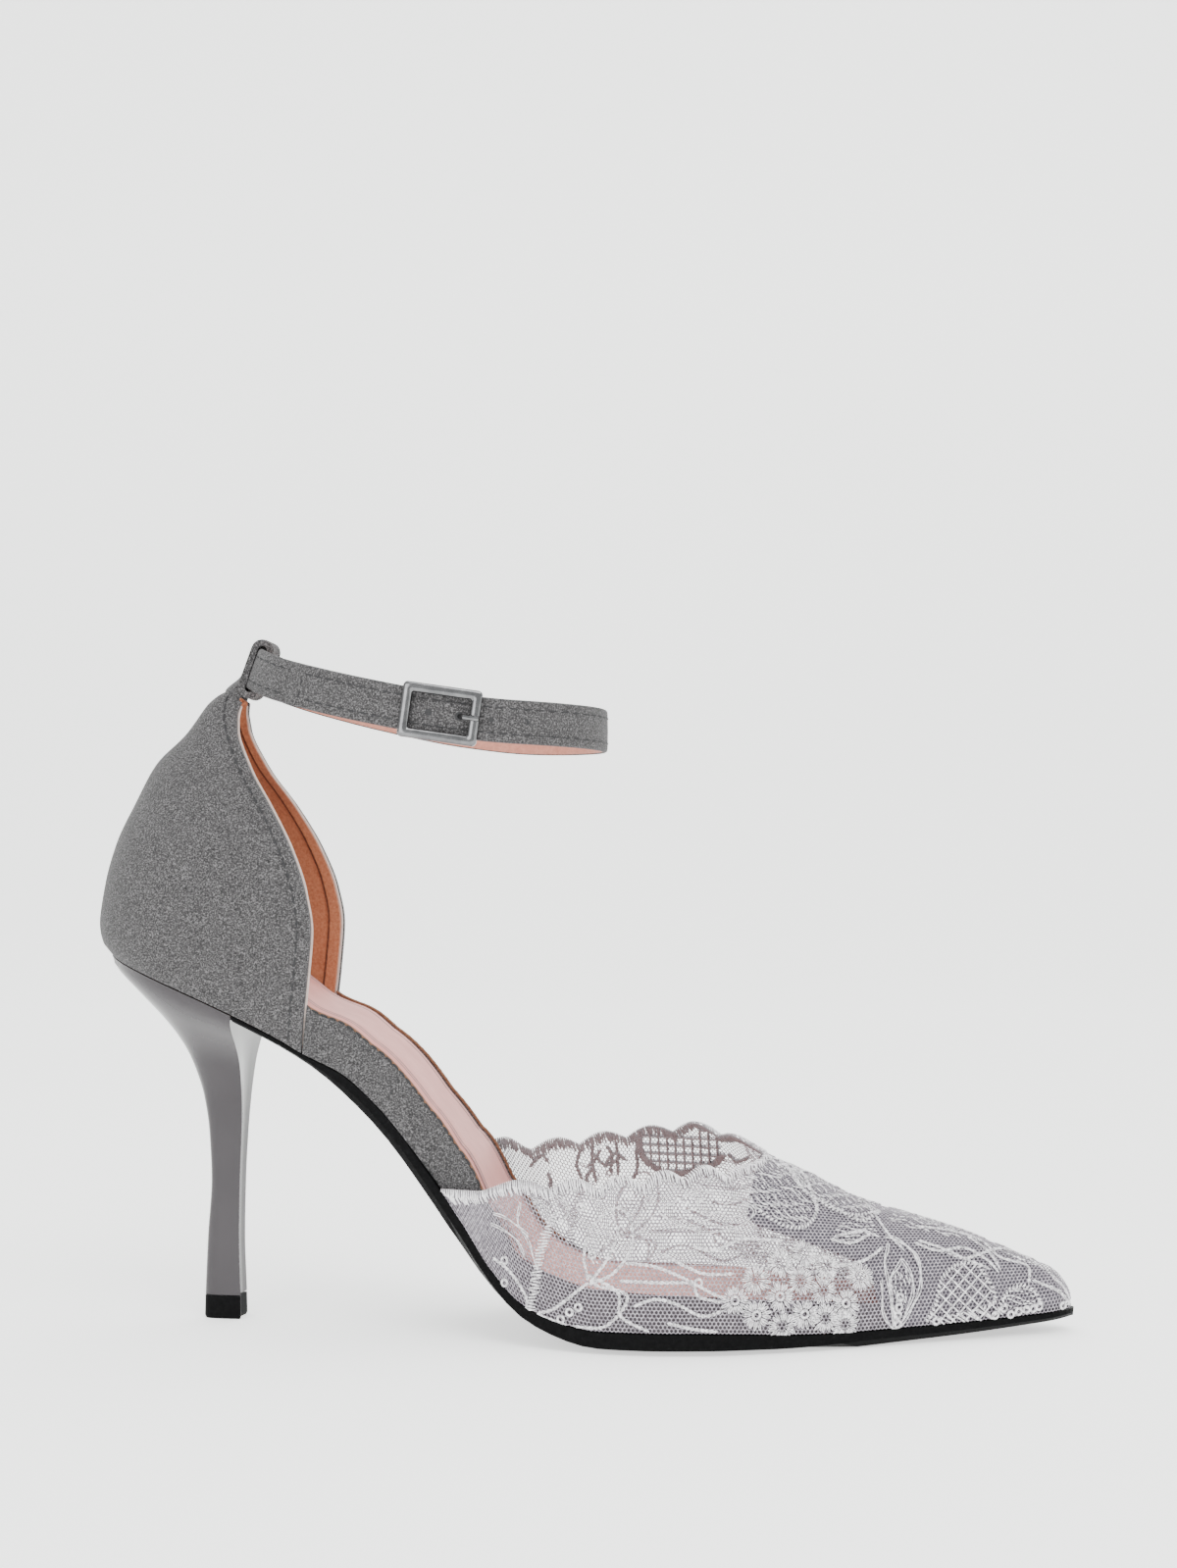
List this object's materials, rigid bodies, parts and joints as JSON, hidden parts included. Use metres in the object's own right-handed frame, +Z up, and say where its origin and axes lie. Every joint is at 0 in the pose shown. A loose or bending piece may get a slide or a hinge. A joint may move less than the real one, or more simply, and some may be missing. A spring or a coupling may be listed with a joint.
{
  "type": "ankle strap pump",
  "caption": "Right pointed-toe stiletto pump with a scalloped lace forepart, a closed suede counter, a bare waist and a buckled ankle strap.",
  "frame": {"origin": "on the floor under the middle of the shoe's bounding box", "axes": "+X towards the toe, +Y towards the inner side of the foot, +Z up"},
  "size_m": [0.235, 0.0738, 0.1652],
  "materials": {
    "black sole": "semi-gloss black",
    "heel lacquer": "glossy grey lacquer",
    "pink sock": "satin dusty pink",
    "grey suede": "matt heathered grey microsuede",
    "silver lace": "silver-white embroidered net over grey",
    "polished buckle": "polished silver"
  },
  "bodies": {
    "root": {"outsole": "black sole", "heel": "heel lacquer", "heel_tip": "black sole", "insole": "pink sock", "waist_band_outer": "grey suede", "waist_band_inner": "grey suede", "quarter": "grey suede", "vamp": "silver lace", "strap_loop": "grey suede", "ankle_strap": "grey suede", "buckle_frame": "polished buckle", "buckle_prong": "polished buckle"}
  },
  "joints": []
}
